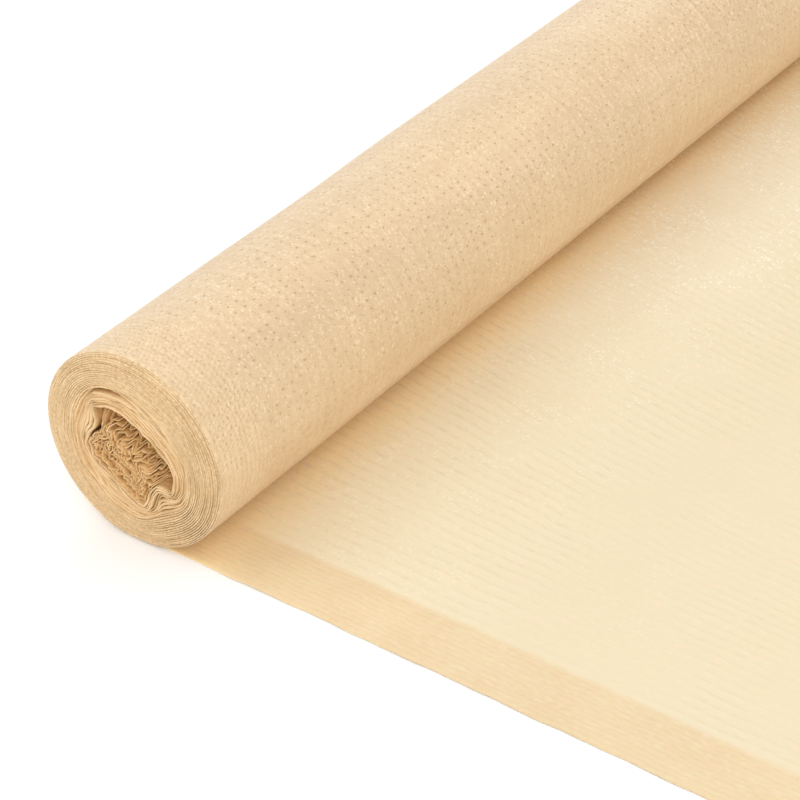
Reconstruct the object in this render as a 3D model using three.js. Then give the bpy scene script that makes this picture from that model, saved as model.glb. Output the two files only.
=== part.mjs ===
// Privacy screen net: a 1 m wide knitted net wound into a loose roll, with its outer end laid out flat.
// Millimetres, +Z up. The roll's axis runs along Y above the origin, and the loose end lies towards +X.
// The origin is on the surface that the roll rests on, under the middle of its axis.
import * as THREE from 'three';

// Driving sizes
const NET_WIDTH = 1000;
const ROLL_RADIUS = 58;
const LAYER_STEP = 1.2;
const FLAT_SPOT_DEPTH = 0.45;
const STEP_X = 10;
const SHEET_THICKNESS = 1.2;
const SHEET_START_X = 10.4;
const SHEET_END_X = 500;
const SECTION_POINTS = 72;
const SHEET_STEPS_X = 22;
const SHEET_STEPS_Y = 27;

// Where the roll's layers open into the crumpled core: distance from the core's centre, in roll radii,
// by angle from +X towards +Z
const CORE_CENTRE = { x: 0, z: 0.88 };
const CORE_OUTLINE = [
  { angle: 0, reach: 0.455 },
  { angle: 14, reach: 0.450 },
  { angle: 28, reach: 0.427 },
  { angle: 42, reach: 0.393 },
  { angle: 55, reach: 0.384 },
  { angle: 68, reach: 0.393 },
  { angle: 82, reach: 0.427 },
  { angle: 96, reach: 0.490 },
  { angle: 108, reach: 0.528 },
  { angle: 118, reach: 0.560 },
  { angle: 128, reach: 0.598 },
  { angle: 138, reach: 0.543 },
  { angle: 148, reach: 0.460 },
  { angle: 160, reach: 0.462 },
  { angle: 174, reach: 0.516 },
  { angle: 188, reach: 0.519 },
  { angle: 202, reach: 0.459 },
  { angle: 216, reach: 0.409 },
  { angle: 230, reach: 0.382 },
  { angle: 244, reach: 0.376 },
  { angle: 256, reach: 0.398 },
  { angle: 266, reach: 0.424 },
  { angle: 274, reach: 0.450 },
  { angle: 284, reach: 0.461 },
  { angle: 296, reach: 0.374 },
  { angle: 308, reach: 0.310 },
  { angle: 320, reach: 0.294 },
  { angle: 332, reach: 0.318 },
  { angle: 346, reach: 0.430 },
];

// How the roll swells and leans along its length: place as a share of the width, swell as a share
// of the radius, lean in mm
const ROLL_STATIONS = [
  { at: 0.0, swell: -0.004, lean: 0.0 },
  { at: 0.035, swell: -0.001, lean: 0.2 },
  { at: 0.1, swell: 0.003, lean: 0.5 },
  { at: 0.19, swell: -0.002, lean: 0.3 },
  { at: 0.29, swell: 0.004, lean: -0.2 },
  { at: 0.4, swell: 0.0, lean: -0.5 },
  { at: 0.51, swell: 0.006, lean: -0.1 },
  { at: 0.62, swell: 0.001, lean: 0.4 },
  { at: 0.72, swell: 0.005, lean: 0.6 },
  { at: 0.82, swell: -0.002, lean: 0.1 },
  { at: 0.91, swell: 0.003, lean: -0.3 },
  { at: 0.965, swell: -0.001, lean: -0.2 },
  { at: 1.0, swell: -0.006, lean: 0.0 },
];
const RIM_DEPTH = 1.1;

// The turned layers on an end face, from the rim inwards: share of the way from the core's outline
// to the rim, depth of the layer's edge below its neighbours in mm, how far the layer has slid along
// the roll towards the near end in mm, and a ripple of the layer with its size in mm
const LAYER_RINGS = [
  { share: 0.985, depth: 0.3, slide: 0.0, ripple: 0.0, lobes: 0, phase: 0 },
  { share: 0.95, depth: 0.0, slide: 0.2, ripple: 0.0, lobes: 0, phase: 0 },
  { share: 0.88, depth: 0.1, slide: 0.9, ripple: 0.2, lobes: 5, phase: 40 },
  { share: 0.76, depth: 0.6, slide: 1.9, ripple: 0.3, lobes: 4, phase: 110 },
  { share: 0.64, depth: 0.1, slide: 2.2, ripple: 0.4, lobes: 5, phase: 200 },
  { share: 0.5, depth: 0.4, slide: 1.8, ripple: 0.4, lobes: 6, phase: 310 },
  { share: 0.44, depth: 1.8, slide: 1.5, ripple: 0.4, lobes: 6, phase: 320 },
  { share: 0.37, depth: 0.2, slide: 0.8, ripple: 0.5, lobes: 7, phase: 60 },
  { share: 0.25, depth: 1.8, slide: 0.6, ripple: 0.5, lobes: 8, phase: 150 },
  { share: 0.17, depth: 0.2, slide: 0.9, ripple: 0.5, lobes: 9, phase: 240 },
  { share: 0.09, depth: 2.3, slide: 1.1, ripple: 0.3, lobes: 9, phase: 20 },
  { share: 0.04, depth: 0.2, slide: 1.4, ripple: 0.2, lobes: 9, phase: 30 },
  { share: 0.0, depth: 1.4, slide: 1.4, ripple: 0.0, lobes: 0, phase: 0 },
];

// The crumpled folds inside the core: share of the way from the crumple's middle to its outline,
// depth in mm, extra depth under the arch in mm, and the fold's ripple
const CORE_FOLDS = [
  { share: 0.96, depth: 6.5, under: 14, ripple: 0.0, lobes: 0, phase: 0 },
  { share: 0.87, depth: 2.0, under: 9, ripple: 0.7, lobes: 9, phase: 0 },
  { share: 0.75, depth: 7.0, under: 8, ripple: 0.9, lobes: 8, phase: 70 },
  { share: 0.65, depth: 2.4, under: 8, ripple: 1.1, lobes: 8, phase: 130 },
  { share: 0.53, depth: 7.5, under: 6, ripple: 1.1, lobes: 7, phase: 190 },
  { share: 0.43, depth: 3.0, under: 6, ripple: 1.2, lobes: 7, phase: 250 },
  { share: 0.31, depth: 8.5, under: 4, ripple: 1.0, lobes: 6, phase: 300 },
  { share: 0.2, depth: 3.8, under: 3, ripple: 0.8, lobes: 5, phase: 20 },
];
const CORE_MIDDLE = { x: -0.03, z: 0.81, depth: 8.5 };
const ARCH_ANGLE = 84;
const ARCH_HALF_WIDTH = 88;
const ARCH_SAG = 0.3;

// The far end of the same roll is a little rounder and has its folds in other places
const END_FACES = {
  near: { y: -NET_WIDTH / 2, inwards: 1, roundness: 0, turn: 0, depthScale: 1 },
  far: { y: NET_WIDTH / 2, inwards: -1, roundness: 0.4, turn: 47, depthScale: 0.85 },
};

// The laid end's low swells off the surface: place and half size in mm, height in mm
const SHEET_SWELLS = [
  { x: 118, y: -60, halfX: 70, halfY: 120, height: 1.5 },
  { x: 96, y: 150, halfX: 58, halfY: 110, height: 2.1 },
  { x: 205, y: 60, halfX: 85, halfY: 90, height: 1.2 },
  { x: 330, y: -250, halfX: 110, halfY: 70, height: 1.3 },
  { x: 180, y: -330, halfX: 100, halfY: 60, height: 0.9 },
  { x: 300, y: 330, halfX: 120, halfY: 110, height: 1.8 },
  { x: 420, y: 40, halfX: 75, halfY: 150, height: 1.6 },
  { x: 445, y: -390, halfX: 50, halfY: 80, height: 1.4 },
];

// How far the laid end's long edges drift out of square, in mm
const EDGE_DRIFT = [
  { x: 10, drift: 2.9 },
  { x: 60, drift: 2.4 },
  { x: 120, drift: 2.0 },
  { x: 240, drift: 0.7 },
  { x: 330, drift: -0.4 },
  { x: 500, drift: -2.6 },
];
const CUT_END_SKEW = 3.5;
const CUT_END_WAVE = 0.8;

const radians = (degrees) => (degrees * Math.PI) / 180;

// Smooth value between the rows of a table that closes on itself after 360 degrees
function aroundTable(rows, angle, column) {
  const a = ((angle % 360) + 360) % 360;
  const count = rows.length;
  let low = count - 1;
  for (let i = 0; i < count; i += 1) {
    if (rows[i].angle <= a) low = i;
  }
  const next = (low + 1) % count;
  const from = rows[low].angle;
  const span = (rows[next].angle - from + 360) % 360;
  const t = ((a - from + 360) % 360) / span;
  const p0 = rows[(low - 1 + count) % count][column];
  const p1 = rows[low][column];
  const p2 = rows[next][column];
  const p3 = rows[(low + 2) % count][column];
  const cubic = -p0 + 3 * p1 - 3 * p2 + p3;
  const square = 2 * p0 - 5 * p1 + 4 * p2 - p3;
  return 0.5 * (2 * p1 + (p2 - p0) * t + square * t * t + cubic * t * t * t);
}

// Value between the rows of a table by x
function alongTable(rows, x, column) {
  const last = rows.length - 1;
  if (x <= rows[0].x) return rows[0][column];
  if (x >= rows[last].x) return rows[last][column];
  const k = rows.findIndex((row) => row.x > x);
  const t = (x - rows[k - 1].x) / (rows[k].x - rows[k - 1].x);
  return rows[k - 1][column] + t * (rows[k][column] - rows[k - 1][column]);
}

// Closed mesh with one named material
function namedMesh(name, points, triangles, colour) {
  const geometry = new THREE.BufferGeometry();
  geometry.setAttribute('position', new THREE.Float32BufferAttribute(points.flat(), 3));
  geometry.setIndex(triangles);
  geometry.computeVertexNormals();
  const material = new THREE.MeshStandardMaterial({ color: colour, roughness: 0.72, metalness: 0 });
  const mesh = new THREE.Mesh(geometry, material);
  mesh.name = name;
  return mesh;
}

// The roll's section: flat where it rests, round on the left and top, and one layer smaller where it
// comes down again, so that it lies on the layer that runs out to the loose end
function rollSection() {
  const centreZ = ROLL_RADIUS - FLAT_SPOT_DEPTH;
  const flatHalf = Math.sqrt(ROLL_RADIUS ** 2 - centreZ ** 2);
  const section = [];
  const inner = ROLL_RADIUS - LAYER_STEP;
  const liftedAngle = Math.asin(STEP_X / inner);
  const startAngle = Math.asin(flatHalf / ROLL_RADIUS);
  const turn = 2 * Math.PI - startAngle - liftedAngle;
  const arcPoints = SECTION_POINTS - 3;
  for (let i = 0; i <= arcPoints; i += 1) {
    const t = i / arcPoints;
    const angle = startAngle + turn * t;
    const radius = ROLL_RADIUS - LAYER_STEP * t;
    section.push({ x: -radius * Math.sin(angle), z: Math.max(0, centreZ - radius * Math.cos(angle)) });
  }
  section.push({ x: STEP_X, z: 0 });
  section.push({ x: 2, z: 0 });
  return section.reverse();
}

// One loop of the roll's section at a place along its length
function bodyLoop(section, station) {
  const grow = 1 + station.swell;
  const y = -NET_WIDTH / 2 + RIM_DEPTH + station.at * (NET_WIDTH - 2 * RIM_DEPTH);
  return section.map((p) => {
    const lean = station.lean * (p.z / ROLL_RADIUS);
    return [p.x * grow + lean, y, p.z * grow];
  });
}

// How far a direction lies under the arch of layers, from 0 to 1
function archShare(angle) {
  const off = Math.abs((((angle - ARCH_ANGLE) % 360) + 540) % 360 - 180);
  return off >= ARCH_HALF_WIDTH ? 0 : 0.5 + 0.5 * Math.cos((off / ARCH_HALF_WIDTH) * Math.PI);
}

// The core's outline in one direction, blended towards a circle at the rounder end
function coreReach(angle, face) {
  const mean = 0.44;
  const reach = aroundTable(CORE_OUTLINE, angle, 'reach');
  return (reach + (mean - reach) * face.roundness) * ROLL_RADIUS;
}

// The rim's point for an inner layer, where the step of the outermost layer no longer shows
function evenRimPoint(rim, share) {
  const centreZ = ROLL_RADIUS - FLAT_SPOT_DEPTH;
  const radius = ROLL_RADIUS - LAYER_STEP / 2;
  const angle = Math.atan2(rim[2] - centreZ, rim[0]);
  const even = [radius * Math.cos(angle), centreZ + radius * Math.sin(angle)];
  const keep = THREE.MathUtils.smoothstep(share, 0.86, 0.99);
  return [even[0] + keep * (rim[0] - even[0]), even[1] + keep * (rim[2] - even[1])];
}

// A layer of the end face, between the core's outline and the rim
function layerLoop(rimLoop, face, ring) {
  const centreX = CORE_CENTRE.x * ROLL_RADIUS;
  const centreZ = CORE_CENTRE.z * ROLL_RADIUS;
  return rimLoop.map((rim) => {
    const angle = THREE.MathUtils.radToDeg(Math.atan2(rim[2] - centreZ, rim[0] - centreX));
    const wave = Math.sin(radians(ring.lobes * (angle + face.turn) + ring.phase));
    const reach = coreReach(angle, face) + ring.ripple * wave;
    const coreX = centreX + reach * Math.cos(radians(angle));
    const coreZ = centreZ + reach * Math.sin(radians(angle));
    const slack = 1 + 0.6 * Math.sin(radians(angle * 2 + 130 + face.turn)) * (1 - ring.share);
    const depth = ring.depth * Math.max(0.3, slack);
    const [rimX, rimZ] = evenRimPoint(rim, ring.share);
    return [
      coreX + ring.share * (rimX - coreX),
      face.y + face.inwards * depth - ring.slide,
      coreZ + ring.share * (rimZ - coreZ),
    ];
  });
}

// A fold of the crumpled net inside the core, which has sunk away from the arch
function foldLoop(rimLoop, face, fold) {
  const centreX = CORE_CENTRE.x * ROLL_RADIUS;
  const centreZ = CORE_CENTRE.z * ROLL_RADIUS;
  const middleX = CORE_MIDDLE.x * ROLL_RADIUS;
  const middleZ = CORE_MIDDLE.z * ROLL_RADIUS;
  return rimLoop.map((rim) => {
    const angle = THREE.MathUtils.radToDeg(Math.atan2(rim[2] - centreZ, rim[0] - centreX));
    const arch = archShare(angle);
    const sag = fold.share > 0.9 ? 0 : ARCH_SAG * arch;
    const reach = coreReach(angle, face) * (1 - sag);
    const wave = Math.sin(radians(fold.lobes * (angle + face.turn) + fold.phase));
    const second = Math.sin(radians((fold.lobes + 5) * angle - fold.phase));
    const share = fold.share + (fold.ripple * wave) / ROLL_RADIUS / 0.44;
    const depth = fold.depth + fold.under * arch + fold.ripple * (1.3 * wave + 0.9 * second);
    return [
      middleX + share * (centreX + reach * Math.cos(radians(angle)) - middleX),
      face.y + face.inwards * depth * face.depthScale,
      middleZ + share * (centreZ + reach * Math.sin(radians(angle)) - middleZ),
    ];
  });
}

// All loops of one end face, from the middle of the crumple out to the rim
function endLoops(rimLoop, face) {
  const folds = CORE_FOLDS.map((fold) => foldLoop(rimLoop, face, fold)).reverse();
  const layers = LAYER_RINGS.map((ring) => layerLoop(rimLoop, face, ring)).reverse();
  return [...folds, ...layers];
}

function endMiddle(face) {
  const depth = CORE_MIDDLE.depth * face.depthScale;
  return [CORE_MIDDLE.x * ROLL_RADIUS, face.y + face.inwards * depth, CORE_MIDDLE.z * ROLL_RADIUS];
}

// The wound roll: the loops of both end faces and of the body between them, skinned in one run
function netRoll() {
  const section = rollSection();
  const body = ROLL_STATIONS.map((station) => bodyLoop(section, station));
  const near = endLoops(body[0], END_FACES.near);
  const far = endLoops(body[body.length - 1], END_FACES.far).reverse();
  const loops = [...near, ...body, ...far];
  const count = section.length;
  const points = loops.flat();
  const nearMiddle = points.push(endMiddle(END_FACES.near)) - 1;
  const farMiddle = points.push(endMiddle(END_FACES.far)) - 1;
  const triangles = [];
  for (let i = 0; i < count; i += 1) {
    const n = (i + 1) % count;
    for (let j = 0; j + 1 < loops.length; j += 1) {
      const a = j * count + i;
      const b = (j + 1) * count + i;
      const c = (j + 1) * count + n;
      const d = j * count + n;
      triangles.push(a, b, c, a, c, d);
    }
    const lastRow = (loops.length - 1) * count;
    triangles.push(nearMiddle, i, n);
    triangles.push(farMiddle, lastRow + n, lastRow + i);
  }
  return namedMesh('net_roll', points, triangles, 0xf0d4a5);
}

// How far the laid end is lifted off the surface at one place
function sheetLift(x, y) {
  return SHEET_SWELLS.reduce((lift, swell) => {
    const off = Math.hypot((x - swell.x) / swell.halfX, (y - swell.y) / swell.halfY);
    if (off >= 1) return lift;
    return lift + swell.height * (0.5 + 0.5 * Math.cos(Math.PI * off));
  }, 0);
}

// One place of the laid end, by its shares along the loose length and across the width
function sheetPlace(along, across) {
  const length = SHEET_END_X - SHEET_START_X;
  const wave = CUT_END_WAVE * Math.sin(across * 19) + CUT_END_SKEW * (across - 0.5);
  const x = SHEET_START_X + along * length + wave * along * along;
  const y = (across - 0.5) * NET_WIDTH + alongTable(EDGE_DRIFT, x, 'drift');
  return [x, y, sheetLift(x, y)];
}

// The loose end: one even layer of net that lies on the surface with a few low swells
function netLooseEnd() {
  const points = [];
  const rows = SHEET_STEPS_X + 1;
  const columns = SHEET_STEPS_Y + 1;
  for (let side = 0; side < 2; side += 1) {
    for (let i = 0; i < rows; i += 1) {
      for (let j = 0; j < columns; j += 1) {
        const [x, y, z] = sheetPlace(i / SHEET_STEPS_X, j / SHEET_STEPS_Y);
        points.push([x, y, z + side * SHEET_THICKNESS]);
      }
    }
  }
  const at = (side, i, j) => side * rows * columns + i * columns + j;
  const triangles = [];
  const quad = (a, b, c, d) => triangles.push(a, b, c, a, c, d);
  for (let i = 0; i < SHEET_STEPS_X; i += 1) {
    for (let j = 0; j < SHEET_STEPS_Y; j += 1) {
      quad(at(1, i, j), at(1, i + 1, j), at(1, i + 1, j + 1), at(1, i, j + 1));
      quad(at(0, i, j), at(0, i, j + 1), at(0, i + 1, j + 1), at(0, i + 1, j));
    }
  }
  for (let i = 0; i < SHEET_STEPS_X; i += 1) {
    quad(at(0, i, 0), at(0, i + 1, 0), at(1, i + 1, 0), at(1, i, 0));
    const j = SHEET_STEPS_Y;
    quad(at(0, i + 1, j), at(0, i, j), at(1, i, j), at(1, i + 1, j));
  }
  for (let j = 0; j < SHEET_STEPS_Y; j += 1) {
    quad(at(0, 0, j + 1), at(0, 0, j), at(1, 0, j), at(1, 0, j + 1));
    const i = SHEET_STEPS_X;
    quad(at(0, i, j), at(0, i, j + 1), at(1, i, j + 1), at(1, i, j));
  }
  return namedMesh('net_loose_end', points, triangles, 0xf3e5c0);
}

const net = new THREE.Group();
net.add(netRoll());
net.add(netLooseEnd());

export default net;
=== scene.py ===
# Privacy screen net: one knitted net, wound into a loose roll with a crumpled core, its outer end laid
# out flat. Shapes are worked out in millimetres in the part's own frame and made in metres.
import math

import bpy
import numpy as np
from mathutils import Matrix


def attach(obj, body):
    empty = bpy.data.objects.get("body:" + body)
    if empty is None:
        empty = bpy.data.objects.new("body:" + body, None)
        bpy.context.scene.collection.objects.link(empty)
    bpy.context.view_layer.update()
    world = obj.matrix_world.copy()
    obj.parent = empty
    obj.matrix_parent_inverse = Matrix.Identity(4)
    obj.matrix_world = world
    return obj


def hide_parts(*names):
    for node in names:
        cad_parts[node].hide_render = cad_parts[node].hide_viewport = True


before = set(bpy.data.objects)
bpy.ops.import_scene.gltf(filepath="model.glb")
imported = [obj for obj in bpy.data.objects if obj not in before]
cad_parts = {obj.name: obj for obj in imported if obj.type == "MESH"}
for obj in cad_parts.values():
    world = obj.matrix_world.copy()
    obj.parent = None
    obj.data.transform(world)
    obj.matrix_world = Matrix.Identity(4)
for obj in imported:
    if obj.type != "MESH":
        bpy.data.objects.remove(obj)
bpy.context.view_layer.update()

# Sizes shared with the solids
NET_WIDTH = 1000.0
ROLL_RADIUS = 58.0
FLAT_SPOT_DEPTH = 0.45
ROLL_CENTRE_Z = ROLL_RADIUS - FLAT_SPOT_DEPTH
LOOSE_END_X = 500.0

# The net and how it is wound: turns counted from where the net leaves the surface under the roll
NET_THICKNESS = 0.8
CRUMPLE_THICKNESS = 0.78
OUTER_RADIUS = ROLL_RADIUS - 0.42
LAY_HEIGHT = 0.93
RING_TURNS = 18
MIDDLE_TURNS = 22
INNER_TURNS = 26
TIGHTER_OUTSIDE = 0.7
EDGE_BLUNTNESS = 0.4
HIDDEN_SHRINK = 0.007

# How much of the room between two turns a layer fills, with waves (size, length), and its limits in mm
FILL_SHARE = 0.91
FILL_WAVES = ((0.05, 243), (0.04, 83), (0.04, 31), (0.03, 13))
FILL_LEAN = 0.08
FULLEST_ANGLE = 115
FULLEST_SHARE = 1.0
BAND_LOOSER = 0.06
THINNEST = 0.55
LOOSE_THICKEST = 1.7

# The way the layers run, in roll radii. The angle is turned from straight down, up the left side. The
# ring's reach is from the roll's axis, and the other guides are places across and above the surface.
LAYER_GUIDES = (
    # angle, ring reach, middle x, middle z, inner x, inner z
    (0, 0.7, 0.02, 0.365, 0.035, 0.43),
    (15, 0.695, -0.12, 0.41, -0.08, 0.485),
    (30, 0.69, -0.255, 0.47, -0.17, 0.545),
    (45, 0.685, -0.38, 0.555, -0.285, 0.61),
    (60, 0.68, -0.5, 0.66, -0.415, 0.7),
    (75, 0.675, -0.58, 0.79, -0.505, 0.79),
    (90, 0.67, -0.6, 0.925, -0.53, 0.89),
    (103, 0.67, -0.575, 1.055, -0.48, 0.985),
    (114, 0.67, -0.545, 1.155, -0.41, 1.07),
    (124, 0.675, -0.52, 1.245, -0.385, 1.16),
    (134, 0.675, -0.49, 1.325, -0.405, 1.25),
    (145, 0.665, -0.43, 1.402, -0.405, 1.33),
    (156, 0.645, -0.305, 1.448, -0.31, 1.365),
    (167, 0.62, -0.172, 1.464, -0.19, 1.382),
    (178, 0.6, -0.045, 1.455, -0.06, 1.37),
    (190, 0.575, 0.065, 1.403, 0.04, 1.315),
    (202, 0.565, 0.17, 1.345, 0.135, 1.253),
    (214, 0.565, 0.27, 1.28, 0.22, 1.195),
    (227, 0.57, 0.36, 1.205, 0.292, 1.143),
    (240, 0.58, 0.44, 1.125, 0.365, 1.092),
    (252, 0.595, 0.5, 1.04, 0.42, 1.025),
    (264, 0.615, 0.53, 0.945, 0.45, 0.94),
    (276, 0.635, 0.538, 0.85, 0.455, 0.85),
    (288, 0.65, 0.522, 0.755, 0.455, 0.765),
    (299, 0.66, 0.475, 0.665, 0.415, 0.712),
    (308, 0.65, 0.385, 0.622, 0.345, 0.735),
    (318, 0.632, 0.303, 0.632, 0.258, 0.722),
    (328, 0.62, 0.262, 0.58, 0.19, 0.635),
    (340, 0.64, 0.24, 0.48, 0.158, 0.52),
    (350, 0.678, 0.16, 0.39, 0.115, 0.435),
)
CORE_CENTRE = np.array((0.0, 0.88)) * ROLL_RADIUS

# How unevenly the turns are spaced: size, length in turns, phase
SPACING_WAVES = ((0.1, 2.7, 0), (0.06, 1.63, 1))

# The waves in each turn's run
TURN_WAVES = (
    # size, waves around, shift a turn, phase
    (1.0, 7, 0.5, 0),
    (0.6, 13, -0.7, 1),
    (0.4, 23, 0.9, 0),
)

# How the core changes along the roll: rounder at the far end, its folds shifting in waves (size and
# length in mm, slant), the sideways one from the near end on
CORE_MEAN = 0.44
FAR_ROUNDNESS = 0.4
SIDE_SHIFT = (1.3, 71, 0.16)
UP_SHIFT = (1.1, 57, 0.14)
SIDE_PHASE = 0.9
SIDE_START = 44.25

# How far each layer's edge lies behind the ends' planes, in mm, by turns in: minus stands proud
EDGE_STEPS = (
    # turns, near, far
    (0, 0.4, 0.4),
    (1, 0.1, 0.8),
    (3, -0.8, 1.6),
    (6, -1.6, 2.3),
    (10, -2.1, 2.6),
    (15, -1.8, 2.4),
    (18, -1.2, 2.2),
    (20, -0.2, 2.6),
    (22, -0.1, 3.0),
    (24, -1.1, 2.8),
    (25.8, -1.5, 3.2),
    (26.8, 0.6, 4.0),
    (30, 1.2, 5.0),
    (40, 1.6, 5.5),
)

# Waves (size, length in mm) by which the edges run unevenly, with seeds a step on at the far end. Those
# of the frayed net sway out of the layer.
RING_EDGE_WAVES = ((0.2, 331), (0.2, 143), (0.14, 71), (0.1, 37), (0.1, 17), (0.08, 8))
BAND_EDGE_WAVES = ((0.45, 97), (0.4, 41), (0.25, 23), (0.2, 11), (0.1, 6))
CORE_EDGE_WAVES = ((1.0, 83), (0.9, 37), (0.6, 19), (0.3, 9), (0.4, 4.7), (0.35, 3.1))
FRAYED_WAVES = ((0.2, 6.1), (0.15, 3.7), (0.1, 2.9))
LAID_EDGE_WAVES = ((0.25, 88), (0.2, 37), (0.12, 19))
FAR_SEED_STEP = 7

# The crumple lies deeper on one side of the core: the way there, its slope in roll radii, depth in mm
HOLLOW_WAY = (0.62, 0.78)
HOLLOW_FROM = -0.02
HOLLOW_TO = 0.24
HOLLOW_DEPTH = 24.0

# A few layers lie back between ring and band, in degrees, turns and mm
LAID_BACK = (
    # angle, half span, turns in, depth
    (150, 24, 18.9, 4.5),
    (118, 14, 19.9, 2.5),
    (262, 20, 19.2, 2.5),
    (318, 18, 22.4, 3.0),
)

# How the roll swells and leans along its length: share of the width, swell, lean in mm
ROLL_STATIONS = (
    (0.0, -0.004, 0.0),
    (0.035, -0.001, 0.2),
    (0.1, 0.003, 0.5),
    (0.19, -0.002, 0.3),
    (0.29, 0.004, -0.2),
    (0.4, 0.0, -0.5),
    (0.51, 0.006, -0.1),
    (0.62, 0.001, 0.4),
    (0.72, 0.005, 0.6),
    (0.82, -0.002, 0.1),
    (0.91, 0.003, -0.3),
    (0.965, -0.001, -0.2),
    (1.0, -0.006, 0.0),
)

# The laid end's low swells off the surface: x, y, half size along x and y, height
SHEET_SWELLS = (
    (118, -60, 70, 120, 1.5),
    (96, 150, 58, 110, 2.1),
    (205, 60, 85, 90, 1.2),
    (330, -250, 110, 70, 1.3),
    (180, -330, 100, 60, 0.9),
    (300, 330, 120, 110, 1.8),
    (420, 40, 75, 150, 1.6),
    (445, -390, 50, 80, 1.4),
)

# How far the laid end's long edges drift out of square: x, drift
EDGE_DRIFT = ((0, 2.9), (10, 2.9), (60, 2.4), (120, 2.0), (240, 0.7), (330, -0.4), (500, -2.6))
CUT_END_SKEW = 3.5
CUT_END_WAVE = 0.8
LIES_FLAT_TO = 45

# Columns of a section near the net's edges, as distances from the edge in mm
EDGE_COLUMNS = (0.5, 3.0, 9.0)
HIDDEN_COLUMNS = EDGE_COLUMNS + (24.0, 60.0)

# Where along the net the wound turns begin, in mm, after the laid end and the outermost turn
WOUND_FROM = 860.0

# Where the pieces' end faces lie in the baked picture, as shares of its width
CAPS_LEFT = (0.97, 0.985)
CAP_WIDTH = 0.01

# The crumple inside the core, settled as a chain. Sizes are in mm, and it grows for a share of the steps
CHAIN_TURNS = 12
CHAIN_STEP = 0.55
CHAIN_GROWTH = 1.85
CHAIN_GROWS_FOR = 0.6
CHAIN_GAP = 0.95
CHAIN_LOOKOUT = 1.3
CHAIN_STEPS = 500
CHAIN_PASSES = 4
CHAIN_FASTEST = 0.3
CHAIN_BEND = 0.02
CHAIN_DRAG = 0.5
CHAIN_FALL = 0.002
CHAIN_DOWN = (-0.7, -0.7)
CHAIN_INNER = 2.5
CHAIN_WOBBLE = 1.1
CHAIN_MARGIN = 0.8
CHAIN_SEED = 36


def curve_point(p0, p1, p2, p3, t):
    """A place between the middle two of four points, on a smooth curve through them."""
    square = 2 * p0 - 5 * p1 + 4 * p2 - p3
    cubic = -p0 + 3 * p1 - 3 * p2 + p3
    return 0.5 * (2 * p1 + (p2 - p0) * t + square * t**2 + cubic * t**3)


def around_table(column, angle):
    """Smooth value between the rows of the guide table, which closes on itself after a turn."""
    angles = np.array([row[0] for row in LAYER_GUIDES], float)
    values = np.array([row[column] for row in LAYER_GUIDES], float) * ROLL_RADIUS
    count = len(angles)
    turned = np.mod(angle, 360.0)
    low = (np.searchsorted(angles, turned, side="right") - 1) % count
    span = np.mod(angles[(low + 1) % count] - angles[low], 360.0)
    t = np.mod(turned - angles[low], 360.0) / span
    return curve_point(*(values[(low + k) % count] for k in (-1, 0, 1, 2)), t)


def smooth_step(low, high, x):
    t = np.clip((np.asarray(x, float) - low) / (high - low), 0.0, 1.0)
    return t * t * (3 - 2 * t)


def eased(x, xs, ys):
    """Value between points of a table, eased so that the slope has no steps."""
    xs, ys = np.asarray(xs, float), np.asarray(ys, float)
    k = np.clip(np.searchsorted(xs, x, side="right") - 1, 0, len(xs) - 2)
    t = smooth_step(0.0, 1.0, (x - xs[k]) / (xs[k + 1] - xs[k]))
    return ys[k] + t * (ys[k + 1] - ys[k])


def uneven(s, waves, seed):
    """A smooth irregular line, as the sum of waves (size, length) with phases from a seed."""
    phases = np.random.default_rng(seed).uniform(0, 2 * np.pi, len(waves))
    return sum(size * np.sin(2 * np.pi * s / length + p) for (size, length), p in zip(waves, phases))


def lengths(vectors):
    return np.hypot(vectors[..., 0], vectors[..., 1])


def run_length(p):
    return np.concatenate([[0.0], np.cumsum(lengths(np.diff(p, axis=0)))])


def inner_guide(angle):
    return np.stack([around_table(4, angle), around_table(5, angle)], axis=-1)


def layer_place(turn, angle=None):
    """Where the net lies after some turns in: from the rim over the ring and middle guides inwards."""
    turn = np.asarray(turn, float)
    angle = 360.0 * turn if angle is None else angle
    loose = sum(size * np.sin(2 * np.pi * turn / length + phase) for size, length, phase in SPACING_WAVES)
    spread = turn + loose * smooth_step(2.5, 7, turn) * (1 - smooth_step(RING_TURNS - 3, RING_TURNS, turn))
    spread = spread - TIGHTER_OUTSIDE * (1 - np.exp(-turn / 2)) * (1 - turn / RING_TURNS)
    a = np.radians(angle)
    out = np.stack([-np.sin(a), -np.cos(a)], axis=-1)
    centre = np.array([0.0, ROLL_CENTRE_Z])
    rim = centre + out * OUTER_RADIUS
    ring = centre + out * around_table(1, angle)[..., None]
    middle = np.stack([around_table(2, angle), around_table(3, angle)], axis=-1)
    inner = inner_guide(angle)
    in_ring = np.clip(spread / RING_TURNS, 0, 1)[..., None]
    in_middle = np.clip((turn - RING_TURNS) / (MIDDLE_TURNS - RING_TURNS), 0, 1)[..., None]
    in_inner = np.clip((turn - MIDDLE_TURNS) / (INNER_TURNS - MIDDLE_TURNS), 0, 1)[..., None]
    place = rim + (ring - rim) * in_ring + (middle - ring) * in_middle + (inner - middle) * in_inner
    wave = sum(size * np.sin(count * a + shift * turn + phase) for size, count, shift, phase in TURN_WAVES)
    wavy = 0.06 * smooth_step(1, 6, turn) + 0.2 * smooth_step(14, 24, turn)
    to_core = CORE_CENTRE - place
    to_core /= lengths(to_core)[..., None]
    place = place + out * (wave * wavy)[..., None]
    joining = (CHAIN_MARGIN + 0.1) * smooth_step(INNER_TURNS - 0.08, INNER_TURNS, turn)
    place = place + to_core * joining[..., None]
    floor = NET_THICKNESS / 2 + LAY_HEIGHT * np.minimum(turn, 12)
    place[..., 1] = np.maximum(place[..., 1], floor)
    return place


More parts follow.
